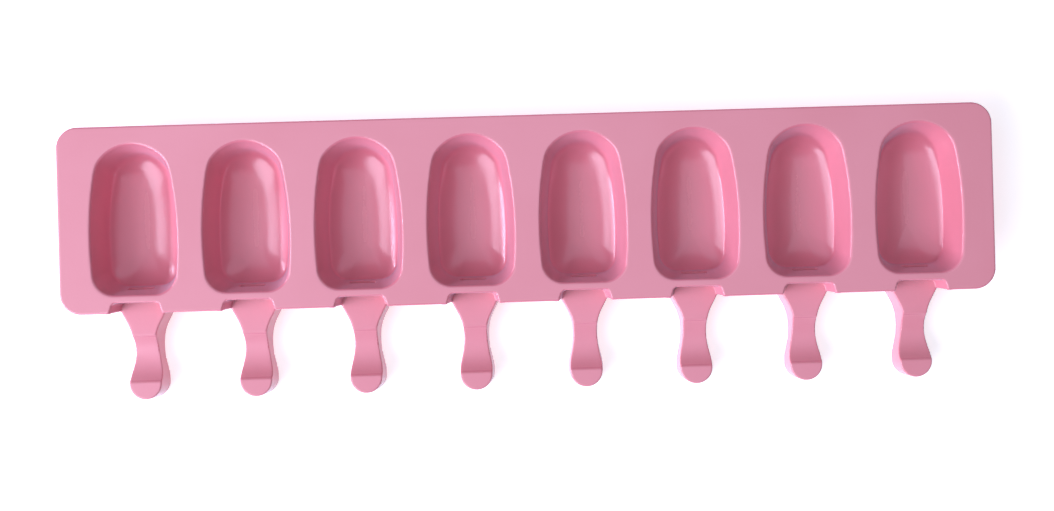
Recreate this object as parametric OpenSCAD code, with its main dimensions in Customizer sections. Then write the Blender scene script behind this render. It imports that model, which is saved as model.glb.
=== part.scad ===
// Eight-cavity silicone bar mould with stick seats and finger tabs.
// Frame: +X along the row of cavities, +Y away from the finger tabs, +Z up.
// The origin is on the table under the centre of the bounding box.
// The real thing is one silicone moulding. It is split here along the lines where
// it flexes: the thin web between two cavities, and the waist of each finger tab.

/* [Tray] */
// Distance from one cavity to the next
pitch = 48; // [44:0.5:50]
// Length of the deck sheet
deck_l = 400; // [396:1:420]
// Depth of the deck sheet, front edge to back edge
deck_w = 80; // [78:0.5:90]
// Corner radius of the deck sheet
deck_r = 9; // [3:0.5:14]
// Thickness of the deck sheet
deck_t = 2; // [1.6:0.1:2.4]
// Height of the deck's top face above the table
tray_h = 20; // [19:0.5:24]

/* [Cavity] */
// Greatest width of a cavity at its rim
cav_w = 37; // [34:0.5:38]
// Length of a cavity at its rim
cav_l = 64.5; // [60:0.5:66]
// Thickness of the cup's wall and floor
cup_t = 2; // [1.6:0.1:2.2]
// Height of the steep band under the rim
band_h = 13.2; // [12:0.2:14]
// How far the band leans inwards over its height
band_lean = 3.4; // [2.5:0.1:4]

/* [Stick seat] */
// Height of the face that the stick lies on
seat_z = 10.4; // [9:0.1:11.5]
// Depth of the notch in the deck's front edge
notch_d = 4.6; // [4:0.1:5]
// Half width of the notch at its back
notch_back = 10; // [9:0.1:10.5]
// Half width of the notch at the front edge
notch_mouth = 11.3; // [11:0.1:12.5]
// Width of the port that the stick passes through
port_w = 11; // [9:0.1:12]
// Height of the port
port_h = 2.6; // [2:0.1:3]

/* [Finger tab] */
// How far the tab reaches in front of the deck
tab_l = 39; // [38:0.5:42]
// Depth of the finger scoop at its lowest point
scoop_d = 4.4; // [3:0.1:5]
// Wall thickness of the hollow seat and tab
tab_t = 2; // [1.6:0.1:2.2]

/* [Flex lines] */
// Gap between two deck panels at a flex line
web_gap = 0.6; // [0.6:0.1:1]
// Greatest bend at a tab's waist, in degrees
tab_bend = 20; // [10:1:25]

/* [Hidden] */
cells = 8;
pink = [0.93, 0.56, 0.69];
pink_deep = [0.90, 0.48, 0.62];

// Y of the deck's front edge, so that the whole object is centred on the origin
front_y = -(deck_w + tab_l) / 2 + tab_l;
back_y = front_y + deck_w;
cav_y = (front_y + back_y) / 2;
cav_d = tray_h - cup_t;
function cell_x(i) = (i - (cells + 1) / 2) * pitch;

// ---- the cavity's plan: an arched back end, bowed sides and a flat front end ----
arch_r = cav_l * 0.272;
side_max = cav_w / 2;
widest = cav_l * 0.63;
// half width at a distance s from the back end
function side_hw(s) = side_max - 2.9 * pow((s - widest) / (widest - 9.3), 2);
function soft_min(a, b, k) = let (h = max(k - abs(a - b), 0) / k) min(a, b) - h * h * k / 4;
function arch_hw(s) = s >= arch_r ? arch_r + (s - arch_r) * 0.3 : sqrt(max(0, arch_r * arch_r - pow(arch_r - s, 2)));
corner_r = 9.5;
function front_hw(s) = let (d = cav_l - s, f = side_hw(cav_l - corner_r) - corner_r)
  d >= corner_r ? 99 : f + corner_r * sqrt(max(0, 1 - pow(1 - d / corner_r, 2)));
function cav_hw(s) = let (m = soft_min(arch_hw(s), side_hw(s), 1.4)) min(max(m, 0), front_hw(s));
// stations are crowded towards the two ends, where the plan turns
half_n = 22;
function station(k) = cav_l * (1 - cos(180 * k / half_n)) / 2;
plan = concat(
  [for (k = [0 : half_n]) [cav_hw(station(k)), cav_l / 2 - station(k)]],
  [for (k = [half_n : -1 : 1]) if (cav_hw(station(k)) > 0.01) [-cav_hw(station(k)), cav_l / 2 - station(k)]]);
// the plan drawn in by e on all sides and moved towards the front by f
end_k = 1.12;
function ring_at(e, z, f) = [for (p = plan)
  [p[0] * (side_max - e) / side_max, p[1] * (cav_l / 2 - end_k * e) / (cav_l / 2) - f, z]];

// [inset, depth below the deck's top face, move] down the inside and down the outside.
// Under the steep band the floor is a shallow dish that meets the band in a crease.
front_move = 0.6;
dish_w = side_max - band_lean;
dish_d = cav_d - band_h;
dish_a = 2 * atan(dish_d / dish_w);
dish_r = dish_w / sin(dish_a);
dish_steps = [0.12, 0.28, 0.46, 0.64, 0.81, 0.94];
foot_hw = 4;
foot_w = dish_w + cup_t - foot_hw;
foot_d = tray_h - band_h - 1;
foot_a = 2 * atan(foot_d / foot_w);
foot_r = foot_w / sin(foot_a);
inside = concat([[0, deck_t, 0], [band_lean * 0.55, (deck_t + band_h) / 2, front_move / 2], [band_lean, band_h, front_move]],
  [for (k = dish_steps) [side_max - dish_r * sin(dish_a * (1 - k)), cav_d - dish_r * (1 - cos(dish_a * (1 - k))), front_move]]);
outside = concat([[-cup_t, deck_t, 0], [band_lean * 0.55 - cup_t, (deck_t + band_h) / 2, front_move / 2], [band_lean - cup_t, band_h + 1, front_move]],
  [for (k = [0.15, 0.32, 0.5, 0.68, 0.85, 1]) [side_max - foot_hw - foot_r * sin(foot_a * (1 - k)), tray_h - foot_r * (1 - cos(foot_a * (1 - k))), front_move]]);

// everything behind the cup's front face, where the seat ends against it
module cup_front_cut() {
  translate([-30, deck_w / 2, 0]) rotate([90, 0, 90]) linear_extrude(height = 60)
    polygon(concat([for (q = outside) [end_k * q[0] - cav_l / 2 - q[2], tray_h - q[1]]],
      [[-6, -1], [20, -1], [20, tray_h + 1], [-end_k * cup_t - cav_l / 2, tray_h + 1]]));
}

module cup_shell() {
  n = len(plan);
  mi = len(inside);
  mo = len(outside);
  ni = mi * n;
  pts = concat([for (q = inside) each ring_at(q[0], tray_h - q[1], q[2])],
    [for (q = outside) each ring_at(q[0], tray_h - q[1], q[2])]);
  polyhedron(
    points = pts,
    faces = concat(
      [for (j = [0 : mi - 2]) for (k = [0 : n - 1])
        [j * n + k, (j + 1) * n + k, (j + 1) * n + (k + 1) % n, j * n + (k + 1) % n]],
      [[for (k = [0 : n - 1]) (mi - 1) * n + (n - 1 - k)]],
      [for (j = [0 : mo - 2]) for (k = [0 : n - 1])
        [ni + j * n + k, ni + j * n + (k + 1) % n, ni + (j + 1) * n + (k + 1) % n, ni + (j + 1) * n + k]],
      [[for (k = [0 : n - 1]) ni + (mo - 1) * n + k]],
      [for (k = [0 : n - 1]) [k, (k + 1) % n, ni + (k + 1) % n, ni + k]]));
}

// ---- the tab's plan: [distance in front of the deck, half width] ----
tab_stations = [[0, 10.3], [3, 9.0], [6, 7.4], [9, 6.1], [12, 5.4], [15, 5.15], [18, 5.2], [21, 5.55],
  [24, 6.15], [27, 6.9], [30, 7.35], [32, 7.3], [34, 6.6], [36, 5.1], [37.6, 3.3], [38.6, 1.6], [39, 0.4]];
tab_k = tab_l / 39;
draft = 0.5;
function tab_side(g, s0, s1) = [for (p = tab_stations) if (p[0] * tab_k >= s0 - 0.01 && p[0] * tab_k <= s1 + 0.01) [max(p[1] + g, 0.2), -p[0] * tab_k]];
module tab_plan(g, s0, s1) {
  side = tab_side(g, s0, s1);
  polygon(concat(side, [for (k = [len(side) - 1 : -1 : 0]) [-side[k][0], side[k][1]]]));
}
module tab_plan_inner() {
  side = [for (p = tab_stations) if (p[0] < 37) [max(p[1] + draft - tab_t, 1), -p[0] * tab_k]];
  polygon(concat(side, [for (k = [len(side) - 1 : -1 : 0]) [-side[k][0], side[k][1]]]));
}
crease_1 = 10.5;
crease_2 = 31;
scoop_half = (crease_2 - crease_1) / 2;
scoop_r = (scoop_half * scoop_half + scoop_d * scoop_d) / (2 * scoop_d);
scoop_y = -(crease_1 + crease_2) / 2;
scoop_z = seat_z - scoop_d + scoop_r;
// the waist: where the tab bends, just under its scooped face
waist_s = 17;
waist_y = -waist_s;
waist_z = scoop_z - sqrt(scoop_r * scoop_r - pow(waist_y - scoop_y, 2)) - tab_t / 2;
waist_gap = 0.3;

// the hollow arm that carries the stick, from the notch to the tab's end, at one cell
module arm() {
  difference() {
    linear_extrude(height = seat_z) tab_plan(draft, 0, tab_l);
    translate([0, 0, -1]) linear_extrude(height = seat_z - tab_t + 1) translate([0, 0]) tab_plan_inner();
    scoop(scoop_r, 30);
  }
  // the roof under the scoop
  intersection() {
    linear_extrude(height = seat_z) tab_plan(draft, 0, tab_l);
    difference() {
      scoop(scoop_r + tab_t, 30);
      scoop(scoop_r, 40);
    }
  }
}
module scoop(r, w) {
  translate([-w / 2, scoop_y, scoop_z]) rotate([0, 90, 0]) cylinder(r = r, h = w, $fn = 96);
}

module deck_panel(i) {
  lo = i == 1 ? -deck_l / 2 : cell_x(i) - pitch / 2 + web_gap / 2;
  hi = i == cells ? deck_l / 2 : cell_x(i) + pitch / 2 - web_gap / 2;
  color(pink)
    translate([0, 0, tray_h - deck_t])
      linear_extrude(height = deck_t)
        difference() {
          intersection() {
            deck_plan();
            translate([lo, front_y - 1]) square([hi - lo, deck_w + 2]);
          }
          translate([cell_x(i), cav_y]) polygon(plan);
          translate([cell_x(i), front_y]) notch_plan(0, notch_d);
        }
}
// the whole sheet's plan with round corners
module deck_plan() {
  c = [for (sx = [1, -1]) for (sy = [1, -1]) [sx, sy]];
  translate([-deck_l / 2, front_y + deck_r]) square([deck_l, deck_w - 2 * deck_r]);
  translate([-deck_l / 2 + deck_r, front_y]) square([deck_l - 2 * deck_r, deck_w]);
  for (q = c)
    translate([q[0] * (deck_l / 2 - deck_r), cav_y + q[1] * (deck_w / 2 - deck_r)]) circle(r = deck_r, $fn = 64);
}
// the notch's plan, drawn out by g, from 1 mm in front of the edge to depth d
module notch_plan(g, d) {
  k = (notch_mouth - notch_back) / notch_d;
  c = 1.6;
  polygon([[notch_mouth + k + g, -1], [notch_back + k * c + g, d - c + 0.001], [notch_back - 0.5 + g, d - 0.4], [notch_back - c + g, d],
    [-notch_back + c - g, d], [-notch_back + 0.5 - g, d - 0.4], [-notch_back - k * c - g, d - c + 0.001], [-notch_mouth - k - g, -1]]);
}

module cavity_cup(i) {
  color(pink_deep)
    translate([cell_x(i), cav_y, 0])
      difference() {
        cup_shell();
        translate([-port_w / 2, -cav_l / 2 - 6, seat_z]) cube([port_w, 14, port_h]);
      }
}

// cut that leaves only the part of the arm on one side of the waist
module behind_waist() {
  translate([-30, waist_y + waist_gap / 2, -5]) cube([60, 60, 50]);
}
module ahead_of_waist() {
  // the face leans back above and below the bending axis, so that the tab can turn both ways
  b = tab_bend + 3;
  y0 = waist_y - waist_gap / 2;
  translate([-30, 0, 0]) rotate([90, 0, 90]) linear_extrude(height = 60)
    polygon([[y0, waist_z], [y0 - 12 * tan(b), waist_z + 12], [y0 - 60, waist_z + 12], [y0 - 60, waist_z - 12], [y0 - 12 * tan(b), waist_z - 12]]);
}

module stick_seat(i) {
  side_in = 0.7;
  color(pink)
    translate([cell_x(i), front_y, 0])
      difference() {
        union() {
          intersection() { arm(); behind_waist(); }
          // the walls of the notch, down to the table, and the floor between them
          difference() {
            intersection() {
              linear_extrude(height = tray_h - deck_t) notch_plan(tab_t - side_in, notch_d + 6);
              translate([-30, 0, 0]) cube([60, 30, tray_h]);
            }
            translate([0, 0, seat_z]) linear_extrude(height = tray_h) notch_plan(-side_in, notch_d);
            translate([0, 0, -1]) linear_extrude(height = seat_z - tab_t + 1)
              translate([0, -0.01]) notch_plan(-side_in, notch_d + 6.01);
            translate([-port_w / 2, 0, seat_z]) cube([port_w, 20, port_h]);
          }
        }
        cup_front_cut();
      }
}

module finger_tab(i) {
  color(pink)
    translate([cell_x(i), front_y, 0])
      intersection() { arm(); ahead_of_waist(); }
}

deck_panel(1);  // deck_panel_1
deck_panel(2);  // deck_panel_2
deck_panel(3);  // deck_panel_3
deck_panel(4);  // deck_panel_4
deck_panel(5);  // deck_panel_5
deck_panel(6);  // deck_panel_6
deck_panel(7);  // deck_panel_7
deck_panel(8);  // deck_panel_8
cavity_cup(1);  // cavity_cup_1
cavity_cup(2);  // cavity_cup_2
cavity_cup(3);  // cavity_cup_3
cavity_cup(4);  // cavity_cup_4
cavity_cup(5);  // cavity_cup_5
cavity_cup(6);  // cavity_cup_6
cavity_cup(7);  // cavity_cup_7
cavity_cup(8);  // cavity_cup_8
stick_seat(1);  // stick_seat_1
stick_seat(2);  // stick_seat_2
stick_seat(3);  // stick_seat_3
stick_seat(4);  // stick_seat_4
stick_seat(5);  // stick_seat_5
stick_seat(6);  // stick_seat_6
stick_seat(7);  // stick_seat_7
stick_seat(8);  // stick_seat_8
finger_tab(1);  // finger_tab_1
finger_tab(2);  // finger_tab_2
finger_tab(3);  // finger_tab_3
finger_tab(4);  // finger_tab_4
finger_tab(5);  // finger_tab_5
finger_tab(6);  // finger_tab_6
finger_tab(7);  // finger_tab_7
finger_tab(8);  // finger_tab_8
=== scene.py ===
import math

import bmesh
import bpy
import numpy as np
from mathutils import Matrix, Vector


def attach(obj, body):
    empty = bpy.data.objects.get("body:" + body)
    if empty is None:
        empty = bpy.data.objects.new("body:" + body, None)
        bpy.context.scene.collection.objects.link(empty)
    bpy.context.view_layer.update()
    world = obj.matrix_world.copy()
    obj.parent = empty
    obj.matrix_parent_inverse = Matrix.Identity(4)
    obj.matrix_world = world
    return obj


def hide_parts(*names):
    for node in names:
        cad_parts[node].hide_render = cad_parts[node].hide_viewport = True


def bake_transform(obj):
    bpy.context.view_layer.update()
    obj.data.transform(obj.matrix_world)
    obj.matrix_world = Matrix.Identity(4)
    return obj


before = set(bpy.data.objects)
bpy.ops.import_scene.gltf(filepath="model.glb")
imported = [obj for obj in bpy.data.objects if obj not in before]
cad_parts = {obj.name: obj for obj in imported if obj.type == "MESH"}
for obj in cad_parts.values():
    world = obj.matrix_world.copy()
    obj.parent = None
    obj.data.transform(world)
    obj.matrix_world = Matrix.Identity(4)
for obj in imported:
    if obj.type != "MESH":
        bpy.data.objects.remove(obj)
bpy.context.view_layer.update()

# ------------------------------------------------------------------ the mould, in millimetres
PITCH, CELLS = 48.0, 8
DECK_L, DECK_W, DECK_T, DECK_R, TRAY_H = 400.0, 80.0, 2.0, 9.0, 20.0
CAV_W, CAV_L = 37.0, 64.5
FRONT_Y, CAV_Y = -20.5, 19.5
SM = CAV_W / 2
ARCH = CAV_L * 0.272
WIDEST = CAV_L * 0.63
CORNER = 9.5
LEAN, BAND_H, CAV_D = 3.4, 13.2, 18.0
END_K, MOVE = 1.12, 0.6
WALL = 2.3
SEAT_Z = 10.4
NOTCH_D, NOTCH_BACK, NOTCH_MOUTH = 4.6, 10.0, 11.3
SCOOP_D, CREASE_1, CREASE_2 = 4.4, 10.5, 31.0
LOBE_S, LOBE_R = 31.5, 7.45
STEP = 0.6


def cell_x(i):
    return (i - (CELLS + 1) / 2) * PITCH


def side_hw(s):
    return SM - 2.9 * ((s - WIDEST) / (WIDEST - 9.3)) ** 2


CORNER_F = side_hw(CAV_L - CORNER) - CORNER


def cav_hw(s):
    """Half width of the cavity's rim at a distance s from its arched end."""
    a = np.where(s >= ARCH, ARCH + (s - ARCH) * 0.3, np.sqrt(np.maximum(0, ARCH**2 - (ARCH - s) ** 2)))
    b = side_hw(s)
    h = np.maximum(1.4 - np.abs(a - b), 0) / 1.4
    m = np.maximum(np.minimum(a, b) - h * h * 1.4 / 4, 0)
    d = CAV_L - s
    front = np.where(d >= CORNER, 99.0, CORNER_F + CORNER * np.sqrt(np.maximum(0, 1 - (1 - d / CORNER) ** 2)))
    return np.minimum(m, front)


def solve_inset(ax, y):
    """How far inside the rim a plan point lies, found by halving. ax is from the cell's centre."""
    yy = y - CAV_Y
    lo, hi = np.full(ax.shape, -9.0), np.full(ax.shape, SM - 0.05)
    for _ in range(27):
        e = (lo + hi) / 2
        sx, sy = (SM - e) / SM, (CAV_L / 2 - END_K * e) / (CAV_L / 2)
        yp = (yy + MOVE * np.clip(e / LEAN, 0, 1)) / sy
        inside = (np.abs(yp) <= CAV_L / 2) & (ax / sx <= cav_hw(CAV_L / 2 - yp))
        lo, hi = np.where(inside, e, lo), np.where(inside, hi, e)
    return (lo + hi) / 2


def table(values, x0, y0, step):
    """Bilinear lookup in a regular table."""
    nx, ny = values.shape
    flat = values.ravel()

    def look(x, y):
        u, v = np.clip((x - x0) / step, 0, nx - 1.001), np.clip((y - y0) / step, 0, ny - 1.001)
        i, j = u.astype(int), v.astype(int)
        u, v = u - i, v - j
        k = i * ny + j
        return (flat[k] * (1 - u) + flat[k + ny] * u) * (1 - v) + (flat[k + 1] * (1 - u) + flat[k + ny + 1] * u) * v

    return look


TX, TY = np.meshgrid(np.arange(0, 34, 0.1), np.arange(-24, 63, 0.1), indexing="ij")
_inset = table(solve_inset(TX, TY), 0.0, -24.0, 0.1)


def inset(x, y):
    return _inset(np.abs(x), y)


def cavity_profile(soft):
    """The cavity's section as points (inset, depth): a leaning band, a crease of a given softness and a shallow dish."""
    dw, dd = SM - LEAN, CAV_D - BAND_H
    a = 2 * math.atan(dd / dw)
    r = dw / math.sin(a)
    pts = [(-LEAN * 10 / BAND_H, -10.0)]
    for t in np.linspace(0, 1, 60):
        pts.append((LEAN * t + 0.35 * math.sin(math.pi * t), BAND_H * t))
    for k in np.linspace(0, 1, 90)[1:]:
        th = a * (1 - k)
        pts.append((SM - r * math.sin(th), CAV_D - r * (1 - math.cos(th))))
    pts.append((SM + 14, CAV_D))
    p = np.array(pts)
    # even spacing, then a running mean that rounds the crease
    seg = np.hypot(*np.diff(p, axis=0).T)
    u = np.concatenate([[0], np.cumsum(seg)])
    q = np.arange(0, u[-1], 0.2)
    p = np.stack([np.interp(q, u, p[:, 0]), np.interp(q, u, p[:, 1])], 1)
    m = int(soft * 20)
    w = np.exp(-0.5 * (np.arange(-m, m + 1) * 0.2 / soft) ** 2)
    w /= w.sum()
    pad = np.concatenate([np.repeat(p[:1], m, 0), p, np.repeat(p[-1:], m, 0)])
    sm = np.stack([np.convolve(pad[:, k], w, "valid") for k in (0, 1)], 1)
    sm[0], sm[-1] = p[0], p[-1]
    return sm


def solve_profile(e, d, profile):
    """Signed distance to the cavity's section: negative inside the cavity."""
    a, b = profile[:-1], profile[1:]
    ab = b - a
    l2 = (ab**2).sum(1)
    out = np.empty(e.size)
    ef, df = e.ravel(), d.ravel()
    for i in range(0, e.size, 60000):
        px, py = ef[i : i + 60000, None] - a[:, 0], df[i : i + 60000, None] - a[:, 1]
        t = np.clip((px * ab[:, 0] + py * ab[:, 1]) / l2, 0, 1)
        dx, dy = px - t * ab[:, 0], py - t * ab[:, 1]
        d2 = dx * dx + dy * dy
        k = d2.argmin(1)
        r = np.arange(len(k))
        side = ab[k, 0] * dy[r, k] - ab[k, 1] * dx[r, k]
        out[i : i + 60000] = np.sqrt(d2[r, k]) * np.where(side > 0, 1.0, -1.0)
    return out.reshape(e.shape)


TE, TD = np.meshgrid(np.arange(-10, 20, 0.08), np.arange(-9, 32, 0.08), indexing="ij")
crisp_distance = table(solve_profile(TE, TD, cavity_profile(0.6)), -10.0, -9.0, 0.08)
soft_distance = table(solve_profile(TE, TD, cavity_profile(2.0)), -10.0, -9.0, 0.08)


def profile_distance(e, d, y):
    """The crease is crisp along the front and fades out round the arched end."""
    t = np.clip((y - CAV_Y - 6.0) / 18.0, 0, 1)
    t = t * t * (3 - 2 * t)
    return crisp_distance(e, d) * (1 - t) + soft_distance(e, d) * t


def join(a, b, r):
    """Union with a fillet of radius r."""
    u, v = np.maximum(r - a, 0), np.maximum(r - b, 0)
    return np.maximum(r, np.minimum(a, b)) - np.hypot(u, v)


def both(a, b, r):
    """Intersection with its edge rounded to radius r."""
    u, v = np.maximum(r + a, 0), np.maximum(r + b, 0)
    return np.minimum(-r, np.maximum(a, b)) + np.hypot(u, v)


SCOOP_HALF = (CREASE_2 - CREASE_1) / 2
SCOOP_R = (SCOOP_HALF**2 + SCOOP_D**2) / (2 * SCOOP_D)
SCOOP_S = (CREASE_1 + CREASE_2) / 2
SCOOP_Z = SEAT_Z - SCOOP_D + SCOOP_R
WAIST_S = 17.0
WAIST_Z = SCOOP_Z - math.sqrt(SCOOP_R**2 - (SCOOP_S - WAIST_S) ** 2) - 1.0

ARM = np.array([(-14, 12.4), (-9, 11.9), (-5, 11.2), (0, 10.3), (3, 8.85), (6, 7.3), (9, 6.15), (12, 5.55), (15, 5.3), (18, 5.35),
                (21, 5.65), (24, 6.25), (27, 6.95), (29.5, 7.38), (31.5, 7.45), (34, 7.45), (48, 7.45)], float)


def hermite_table(p, n=1200):
    """Smooth curve through the points, as a fine table."""
    x, y = p[:, 0], p[:, 1]
    m = np.zeros(len(p))
    m[1:-1] = (y[2:] - y[:-2]) / (x[2:] - x[:-2])
    q = np.linspace(x[0], x[-1], n)
    k = np.clip(np.searchsorted(x, q) - 1, 0, len(x) - 2)
    h = x[k + 1] - x[k]
    t = (q - x[k]) / h
    v = (2 * t**3 - 3 * t**2 + 1) * y[k] + (t**3 - 2 * t**2 + t) * h * m[k] + (3 * t**2 - 2 * t**3) * y[k + 1] + (t**3 - t**2) * h * m[k + 1]
    return q, v


ARM_Q, ARM_V = hermite_table(ARM)
ARM_G = np.gradient(ARM_V, ARM_Q)


def arm_plan(x, s):
    """Distance to the arm's outline in plan."""
    w, g = np.interp(s, ARM_Q, ARM_V), np.interp(s, ARM_Q, ARM_G)
    neck = np.maximum((np.abs(x) - w) / np.sqrt(1 + g * g), s - LOBE_S)
    lobe = np.hypot(x, s - LOBE_S) - LOBE_R
    return np.minimum(neck, lobe)


def solid(x, y, z, e=None):
    """The silicone: negative inside. x is across the whole tray."""
    cx = (np.clip(np.round(x / PITCH + (CELLS + 1) / 2), 1, CELLS) - (CELLS + 1) / 2) * PITCH
    xl = x - cx
    if e is None:
        e = inset(xl, y)
    s = FRONT_Y - y
    # deck sheet
    qx, qy = np.abs(x) - (DECK_L / 2 - DECK_R), np.abs(y - CAV_Y) - (DECK_W / 2 - DECK_R)
    plan = np.hypot(np.maximum(qx, 0), np.maximum(qy, 0)) + np.minimum(np.maximum(qx, qy), 0) - DECK_R
    deck = both(plan, np.abs(z - (TRAY_H - DECK_T / 2)) - DECK_T / 2, 0.65)
    # cup
    cav = profile_distance(e, TRAY_H - z, y)
    cup = both(np.maximum(cav - WALL - 0.05, z - TRAY_H + 1.35), -z, 0.6)
    # arm: seat, scoop and lobe, hollow underneath
    draft = 0.8 * (1 - z / SEAT_Z) - 0.5
    scoop = SCOOP_R - np.hypot(s - SCOOP_S, z - SCOOP_Z)
    ap = arm_plan(xl, s) - draft
    arm = both(both(both(np.maximum(ap, -s - 9.0), z - SEAT_Z, 0.55), scoop, 0.3), -z, 0.4)
    # walls of the notch, drafted inwards as they go down
    k = (NOTCH_MOUTH - NOTCH_BACK) / NOTCH_D
    down = (TRAY_H - z) / (TRAY_H - SEAT_Z)
    half = NOTCH_MOUTH + k * np.minimum(s, 0.5) - 1.55 * down
    tower = both(both(np.maximum(np.maximum(np.abs(xl) - half - 2.0, s), -s - 9.0), z - TRAY_H + 1.0, 0.3), -z, 0.4)
    under = both(np.maximum(ap + 2.0, -s - 14), z - (SEAT_Z - 2.0), 0.5)
    under = both(under, scoop + 2.0, 0.5)
    under_t = both(np.maximum(np.abs(xl) - half, np.maximum(s + 2.0, -s - 14)), z - (SEAT_Z - 2.0), 0.5)
    hollow = np.minimum(under, under_t)
    notch = both(np.abs(xl) - half, -s - NOTCH_D + 0.6 * down, 1.5)
    notch = np.maximum(notch, SEAT_Z - 1.0 - z)
    upper = join(join(deck, cup, 1.3), np.maximum(tower, -hollow), 0.8)
    upper = both(upper, -notch, 0.6)
    out = join(upper, np.maximum(arm, -hollow), 0.45)
    # cut the cavity and the stick's port
    out = both(out, -cav, 0.85)
    port = np.maximum(both(np.abs(xl) - 5.5, np.abs(z - SEAT_Z - 1.3) - 1.3, 0.4), np.abs(s + 8.0) - 6.0)
    return np.maximum(both(out, -port, 0.25), -z)


def gradient(v, h=0.1):
    x, y, z = v[:, 0], v[:, 1], v[:, 2]
    cx = (np.clip(np.round(x / PITCH + (CELLS + 1) / 2), 1, CELLS) - (CELLS + 1) / 2) * PITCH
    e = inset(x - cx, y)
    gz = solid(x, y, z + h, e) - solid(x, y, z - h, e)
    gx = solid(x + h, y, z) - solid(x - h, y, z)
    gy = solid(x, y + h, z) - solid(x, y - h, z)
    return np.stack([gx, gy, gz], 1) / (2 * h), e


def surface_net(f, axes):
    """Quads of the zero surface of f on a regular grid."""
    n = np.array(f.shape)
    cells = n - 1
    size = int(np.prod(cells))
    acc, cnt = np.zeros((3, size)), np.zeros(size)
    inside = f < 0
    quads = []
    for ax in range(3):
        sl_a, sl_b = [slice(None)] * 3, [slice(None)] * 3
        sl_a[ax], sl_b[ax] = slice(0, -1), slice(1, None)
        a, b = f[tuple(sl_a)], f[tuple(sl_b)]
        idx = np.array(np.nonzero(inside[tuple(sl_a)] != inside[tuple(sl_b)]))
        va, vb = a[tuple(idx)], b[tuple(idx)]
        pos = idx.astype(float)
        pos[ax] += va / (va - vb)
        o1, o2 = [k for k in range(3) if k != ax]
        corner = []
        ok_all = np.ones(idx.shape[1], bool)
        for d1, d2 in ((0, 0), (-1, 0), (-1, -1), (0, -1)):
            c = idx.copy()
            c[o1] += d1
            c[o2] += d2
            ok = (c[o1] >= 0) & (c[o1] < cells[o1]) & (c[o2] >= 0) & (c[o2] < cells[o2])
            lin = (c[0] * cells[1] + c[1]) * cells[2] + c[2]
            lin = np.where(ok, lin, 0)
            cnt += np.bincount(lin[ok], minlength=size)
            for k in range(3):
                acc[k] += np.bincount(lin[ok], pos[k][ok], minlength=size)
            ok_all &= ok
            corner.append(lin)
        q = np.stack(corner, 1)[ok_all]
        flip = (va < 0)[ok_all]
        if ax == 1:
            flip = ~flip
        q[~flip] = q[~flip][:, ::-1]
        quads.append(q)
    quads = np.concatenate(quads)
    used = np.unique(quads)
    renum = np.full(size, -1)
    renum[used] = np.arange(len(used))
    p = (acc[:, used] / cnt[used]).T
    v = np.stack([np.interp(p[:, k], np.arange(n[k]), axes[k]) for k in range(3)], 1)
    return v, renum[quads]


def extract(x0, x1):
    """The mould's skin between two places along the row."""
    xs = np.arange(round(x0 / STEP), round(x1 / STEP) + 1) * STEP
    ys = np.arange(round(-62 / STEP), round(62 / STEP) + 1) * STEP
    zs = np.arange(-2, round(21.6 / STEP) + 1) * STEP - 0.13
    cx = (np.clip(np.round(xs / PITCH + (CELLS + 1) / 2), 1, CELLS) - (CELLS + 1) / 2) * PITCH
    gx, gy = np.meshgrid(xs - cx, ys, indexing="ij")
    e2 = inset(gx, gy)
    f = np.empty((len(xs), len(ys), len(zs)))
    fx, fy = np.meshgrid(xs, ys, indexing="ij")
    for k, z in enumerate(zs):
        f[:, :, k] = solid(fx, fy, np.full(fx.shape, z), e2)
    v, q = surface_net(f, (xs, ys, zs))
    edges = np.concatenate([q[:, [0, 1]], q[:, [1, 2]], q[:, [2, 3]], q[:, [3, 0]]])
    lim = STEP * 0.9
    start = v.copy()

    def project(v, times):
        for _ in range(times):
            g, e = gradient(v)
            val = solid(v[:, 0], v[:, 1], v[:, 2], e)
            g2 = np.maximum((g**2).sum(1), 0.15)
            step = -(val / g2)[:, None] * g
            ln = np.linalg.norm(step, axis=1)
            step *= np.minimum(1, 0.35 / np.maximum(ln, 1e-9))[:, None]
            v = v + step
        return v

    v = project(v, 2)
    deg = np.bincount(edges[:, 0], minlength=len(v)) + np.bincount(edges[:, 1], minlength=len(v))
    for _ in range(2):
        mean = np.stack([(np.bincount(edges[:, 0], v[edges[:, 1], k], minlength=len(v)) + np.bincount(edges[:, 1], v[edges[:, 0], k], minlength=len(v))) / deg for k in range(3)], 1)
        v = v + 0.5 * (mean - v)
        v = project(v, 1)
    v = project(v, 1)
    off = v - start
    ln = np.linalg.norm(off, axis=1)
    v = start + off * np.minimum(1, lim / np.maximum(ln, 1e-9))[:, None]
    return v, q


def cut(v, q, planes):
    """The part of a skin that lies on the inner side of every plane (point, outward normal), closed with flat caps."""
    bm = bmesh.new()
    me = bpy.data.meshes.new("tmp")
    me.from_pydata(v.tolist(), [], q.tolist())
    bm.from_mesh(me)
    bpy.data.meshes.remove(me)
    cap = bm.faces.layers.int.new("cap")
    for co, no in planes:
        res = bmesh.ops.bisect_plane(bm, geom=bm.verts[:] + bm.edges[:] + bm.faces[:], dist=1e-5, plane_co=co, plane_no=no, clear_outer=True)
        rim = [g for g in res["geom_cut"] if isinstance(g, bmesh.types.BMEdge) and g.is_valid and len(g.link_faces) == 1]
        made = bmesh.ops.holes_fill(bm, edges=rim, sides=0)["faces"]
        for f in made:
            f[cap] = 1
    loose = [x for x in bm.verts if not x.link_faces]
    bmesh.ops.delete(bm, geom=loose, context="VERTS")
    bmesh.ops.recalc_face_normals(bm, faces=bm.faces[:])
    return bm


normals_of = {}


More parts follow.
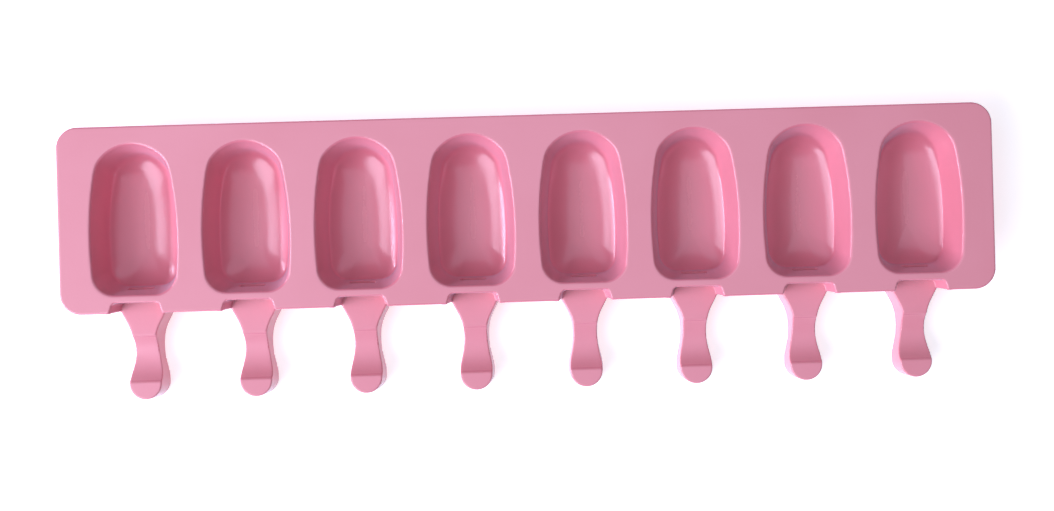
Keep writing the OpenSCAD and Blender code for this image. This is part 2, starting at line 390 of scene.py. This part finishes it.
def finish_mesh(bm, name, shift=0.0, mirror=False):
    """A Blender object in metres, with normals taken from the shape itself so that neighbouring pieces shade alike."""
    me = bpy.data.meshes.new(name)
    bm.to_mesh(me)
    n = len(me.vertices)
    co = np.empty(n * 3)
    me.vertices.foreach_get("co", co)
    co = co.reshape(-1, 3)
    if id(bm) not in normals_of:
        g, _ = gradient(co, 0.18)
        normals_of[id(bm)] = g / np.maximum(np.linalg.norm(g, axis=1), 1e-9)[:, None]
    nv = normals_of[id(bm)].copy()
    cx = (np.clip(np.round(co[:, 0] / PITCH + (CELLS + 1) / 2), 1, CELLS) - (CELLS + 1) / 2) * PITCH
    from_middle = SM - inset(co[:, 0] - cx, co[:, 1])
    caps = np.empty(len(me.polygons), np.int32)
    me.attributes["cap"].data.foreach_get("value", caps)
    if mirror:
        co[:, 0] *= -1
        nv[:, 0] *= -1
        me.flip_normals()
    co[:, 0] += shift
    # where a point is at rest, and a satin-and-sheen mask: the deck's face, the tabs' tops and the middle of each floor
    # are satin, the rest is polished; the mask both raises the roughness there and blends in a lighter, bluer base
    # colour that is painted sheen standing in for the lamps' bluish reflection
    up = nv[:, 2]
    # the tabs' tops get the painted sheen more the more they face up
    tab_top = 0.85 * np.clip((up - 0.4) / 0.4, 0, 1)
    # painted sheen: a soft lighter patch in the middle of each up-facing floor, standing in for the bluish overhead
    # light that falls there
    painted_floor_sheen = 0.75 * np.exp(-((from_middle / 8.0) ** 2)) * (up > 0)
    satin = np.where(co[:, 2] > 19.0, np.clip((up - 0.90) / 0.09, 0, 1), np.where(co[:, 1] < FRONT_Y + NOTCH_D - 0.5, tab_top, painted_floor_sheen))
    me.attributes.new("rest", "FLOAT_VECTOR", "POINT").data.foreach_set("vector", (co / 1000).ravel())
    me.attributes.new("satin", "FLOAT", "POINT").data.foreach_set("value", satin)
    me.vertices.foreach_set("co", (co / 1000).ravel())
    me.update()
    loops = np.empty(len(me.loops), np.int32)
    me.loops.foreach_get("vertex_index", loops)
    ln = nv[loops]
    start, total = np.empty(len(me.polygons), np.int32), np.empty(len(me.polygons), np.int32)
    me.polygons.foreach_get("loop_start", start)
    me.polygons.foreach_get("loop_total", total)
    pn = np.empty(len(me.polygons) * 3)
    me.polygons.foreach_get("normal", pn)
    pn = pn.reshape(-1, 3)
    for p in np.nonzero(caps)[0]:
        ln[start[p] : start[p] + total[p]] = pn[p]
    if caps.any():
        le = np.empty(len(me.loops), np.int32)
        me.loops.foreach_get("edge_index", le)
        sharp = np.zeros(len(me.edges), bool)
        for p in np.nonzero(caps)[0]:
            sharp[le[start[p] : start[p] + total[p]]] = True
        me.attributes.new("sharp_edge", "BOOLEAN", "EDGE") if "sharp_edge" not in me.attributes else None
        me.attributes["sharp_edge"].data.foreach_set("value", sharp)
    me.polygons.foreach_set("use_smooth", np.ones(len(me.polygons), bool))
    me.normals_split_custom_set(ln.tolist())
    me.attributes.remove(me.attributes["cap"])
    me.update()
    ob = bpy.data.objects.new(name, me)
    bpy.context.scene.collection.objects.link(ob)
    return ob


WEB_A, WEB_B = 21.5, 26.5
WAIST_A, WAIST_B = 13.0, 21.0
FAR = 400.0


def planes_for(kind, x_lo, x_hi):
    px_lo, px_hi = ((x_lo, 0, 0), (-1, 0, 0)), ((x_hi, 0, 0), (1, 0, 0))
    ya, yb = FRONT_Y - WAIST_A, FRONT_Y - WAIST_B
    if kind == "web":
        return [px_lo, px_hi]
    if kind == "cell":
        return [p for p in (px_lo, px_hi) if abs(p[0][0]) < 300] + [((0, ya, 0), (0, -1, 0))]
    if kind == "waist":
        return [px_lo, px_hi, ((0, ya, 0), (0, 1, 0)), ((0, yb, 0), (0, -1, 0))]
    return [px_lo, px_hi, ((0, yb, 0), (0, 1, 0))]


pieces = {}
xm = cell_x(5)
mid = extract(xm - 25.2, xm + 30.6)
end = extract(-DECK_L / 2 - 1.2, cell_x(1) + 25.8)
bm_cell = cut(*mid, planes_for("cell", xm - WEB_A, xm + WEB_A))
bm_end = cut(*end, planes_for("cell", -FAR, cell_x(1) + WEB_A))
bm_web = cut(*mid, planes_for("web", xm + WEB_A, xm + WEB_B))
bm_waist = cut(*mid, planes_for("waist", xm - 20, xm + 20))
bm_tab = cut(*mid, planes_for("tab", xm - 20, xm + 20))
for i in range(1, CELLS + 1):
    dx = cell_x(i) - xm
    if i == 1:
        pieces[f"skin_cell_{i}"] = finish_mesh(bm_end, f"skin_cell_{i}")
    elif i == CELLS:
        pieces[f"skin_cell_{i}"] = finish_mesh(bm_end, f"skin_cell_{i}", mirror=True)
    else:
        pieces[f"skin_cell_{i}"] = finish_mesh(bm_cell, f"skin_cell_{i}", dx)
    if i < CELLS:
        pieces[f"skin_web_{i}"] = finish_mesh(bm_web, f"skin_web_{i}", dx)
    pieces[f"skin_waist_{i}"] = finish_mesh(bm_waist, f"skin_waist_{i}", dx)
    pieces[f"skin_tab_{i}"] = finish_mesh(bm_tab, f"skin_tab_{i}", dx)
for b in (bm_cell, bm_end, bm_web, bm_waist, bm_tab):
    b.free()


# ------------------------------------------------------------------ material
def srgb(r, g, b):
    return tuple(((c / 12.92) if c <= 0.04045 else ((c + 0.055) / 1.055) ** 2.4) for c in (r, g, b)) + (1.0,)


# base colours: the polished pink, and a lighter, bluer painted sheen that stands in for the lamps' bluish reflection on
# the up-facing satin faces
POLISHED_A, POLISHED_B = (0.900, 0.515, 0.575), (0.912, 0.532, 0.597)
PAINTED_SHEEN_A, PAINTED_SHEEN_B = (0.902, 0.572, 0.612), (0.914, 0.590, 0.632)


def silicone():
    m = bpy.data.materials.new("silicone_pink")
    m.use_nodes = True
    nt = m.node_tree
    nt.nodes.clear()
    N, L = nt.nodes.new, nt.links.new
    out = N("ShaderNodeOutputMaterial")
    p = N("ShaderNodeBsdfPrincipled")
    L(p.outputs["BSDF"], out.inputs["Surface"])
    tc = N("ShaderNodeAttribute")
    tc.attribute_name = "rest"
    satin = N("ShaderNodeAttribute")
    satin.attribute_name = "satin"

    def noise(scale, detail, lo=None, hi=None):
        n = N("ShaderNodeTexNoise")
        n.inputs["Scale"].default_value = scale
        n.inputs["Detail"].default_value = detail
        L(tc.outputs["Vector"], n.inputs["Vector"])
        if lo is None:
            return n.outputs["Fac"]
        r = N("ShaderNodeMapRange")
        r.inputs["From Min"].default_value = lo
        r.inputs["From Max"].default_value = hi
        L(n.outputs["Fac"], r.inputs["Value"])
        return r.outputs["Result"]

    def blend_colour(fac, a, b):
        mix = N("ShaderNodeMix")
        mix.data_type = "RGBA"
        L(fac, mix.inputs["Factor"])
        for k, c in (("A", a), ("B", b)):
            if isinstance(c, tuple):
                mix.inputs[k].default_value = c
            else:
                L(c, mix.inputs[k])
        return next(o for o in mix.outputs if o.type == "RGBA" and o.enabled)

    cloud = noise(22.0, 3.0, 0.35, 0.65)
    polished = blend_colour(cloud, srgb(*POLISHED_A), srgb(*POLISHED_B))
    painted_sheen = blend_colour(cloud, srgb(*PAINTED_SHEEN_A), srgb(*PAINTED_SHEEN_B))
    # base colour: polished pink, blended towards the painted sheen where the satin-and-sheen mask is high
    L(blend_colour(satin.outputs["Fac"], polished, painted_sheen), p.inputs["Base Color"])
    # roughness: polished walls, satin faces, and a fine grain with a few wider smears
    height = N("ShaderNodeMapRange")
    height.inputs["From Min"].default_value = 0.70
    height.inputs["From Max"].default_value = 0.85
    height.inputs["To Min"].default_value = 0.17
    height.inputs["To Max"].default_value = 0.40
    L(satin.outputs["Fac"], height.inputs["Value"])
    grain = noise(900.0, 2.0)
    smear = noise(60.0, 2.0, 0.3, 0.7)
    both_noises = N("ShaderNodeMath")
    both_noises.operation = "ADD"
    L(grain, both_noises.inputs[0])
    L(smear, both_noises.inputs[1])
    rough = N("ShaderNodeMath")
    rough.operation = "MULTIPLY_ADD"
    L(both_noises.outputs["Value"], rough.inputs[0])
    rough.inputs[1].default_value = 0.045
    L(height.outputs["Result"], rough.inputs[2])
    L(rough.outputs["Value"], p.inputs["Roughness"])
    bump = N("ShaderNodeBump")
    bump.inputs["Strength"].default_value = 0.06
    bump.inputs["Distance"].default_value = 0.0004
    L(grain, bump.inputs["Height"])
    L(bump.outputs["Normal"], p.inputs["Normal"])
    p.inputs["IOR"].default_value = 1.48
    p.inputs["Specular IOR Level"].default_value = 0.8
    p.inputs["Sheen Weight"].default_value = 0.5
    p.inputs["Sheen Roughness"].default_value = 0.45
    p.inputs["Sheen Tint"].default_value = (0.65, 0.82, 1.0, 1.0)
    return m


skin = silicone()
for name, ob in pieces.items():
    ob.data.materials.append(skin)

for i in range(1, CELLS + 1):
    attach(pieces[f"skin_cell_{i}"], f"cell_{i}")
    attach(pieces[f"skin_tab_{i}"], f"tab_{i}")
    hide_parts(f"deck_panel_{i}", f"cavity_cup_{i}", f"stick_seat_{i}")
    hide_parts(f"finger_tab_{i}")
    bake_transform(pieces[f"skin_waist_{i}"])
    if i < CELLS:
        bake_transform(pieces[f"skin_web_{i}"])

# ------------------------------------------------------------------ floor, light and camera
me = bpy.data.meshes.new("floor")
me.from_pydata([(-3, -3, 0), (3, -3, 0), (3, 3, 0), (-3, 3, 0)], [], [(0, 1, 2, 3)])
floor = bpy.data.objects.new("floor", me)
bpy.context.scene.collection.objects.link(floor)
floor.location.z = -0.0002
fm = bpy.data.materials.new("floor")
fm.use_nodes = True
fm.node_tree.nodes["Principled BSDF"].inputs["Base Color"].default_value = (0.92, 0.92, 0.92, 1)
fm.node_tree.nodes["Principled BSDF"].inputs["Roughness"].default_value = 0.9
fm.node_tree.nodes["Principled BSDF"].inputs["Emission Color"].default_value = (1, 1, 1, 1)
fm.node_tree.nodes["Principled BSDF"].inputs["Emission Strength"].default_value = 0.55
me.materials.append(fm)


def lamp(name, pos, target, size, power, colour=(1, 1, 1), size_y=None):
    d = bpy.data.lights.new(name, "AREA")
    d.shape = "RECTANGLE"
    d.size, d.size_y = size, size_y or size
    d.energy = power
    d.color = colour
    o = bpy.data.objects.new(name, d)
    bpy.context.scene.collection.objects.link(o)
    o.location = pos
    o.rotation_euler = (Vector(target) - Vector(pos)).to_track_quat("-Z", "Y").to_euler()
    return o


lamp("key", (-1.55, -0.86, 1.40), (0, 0.02, 0.01), 2.0, 38.0, (0.97, 0.96, 1.18), 1.3)
lamp("strip", (-1.85, -0.72, 0.86), (0, -0.72, 0.01), 2.8, 30.0, (0.97, 0.94, 1.22), 0.11)
lamp("top", (0.0, 0.1, 1.25), (0, 0.1, 0), 1.5, 6.0, (0.9, 0.96, 1.2))
world = bpy.data.worlds.new("world")
bpy.context.scene.world = world
world.use_nodes = True
world.node_tree.nodes["Background"].inputs["Color"].default_value = (1, 1, 1, 1)
world.node_tree.nodes["Background"].inputs["Strength"].default_value = 0.08

cam_data = bpy.data.cameras.new("camera")
cam = bpy.data.objects.new("camera", cam_data)
bpy.context.scene.collection.objects.link(cam)
F = 1101.0
cam_data.sensor_width = 36.0
cam_data.lens = F / 1054 * 36
cam_data.shift_x = -18.0 / 1054
cam_data.shift_y = -55.0 / 1054
ry, rz = -0.0048, -0.0287
R = Matrix.Rotation(rz, 3, "Z") @ Matrix.Rotation(ry, 3, "Y")
cam.matrix_world = Matrix.Translation((0.00567, 0.00319 + 0.0195, 0.490)) @ R.to_4x4()
cam_data.clip_start, cam_data.clip_end = 0.01, 20
bpy.context.scene.camera = cam
bpy.context.scene.view_settings.view_transform = "Standard"
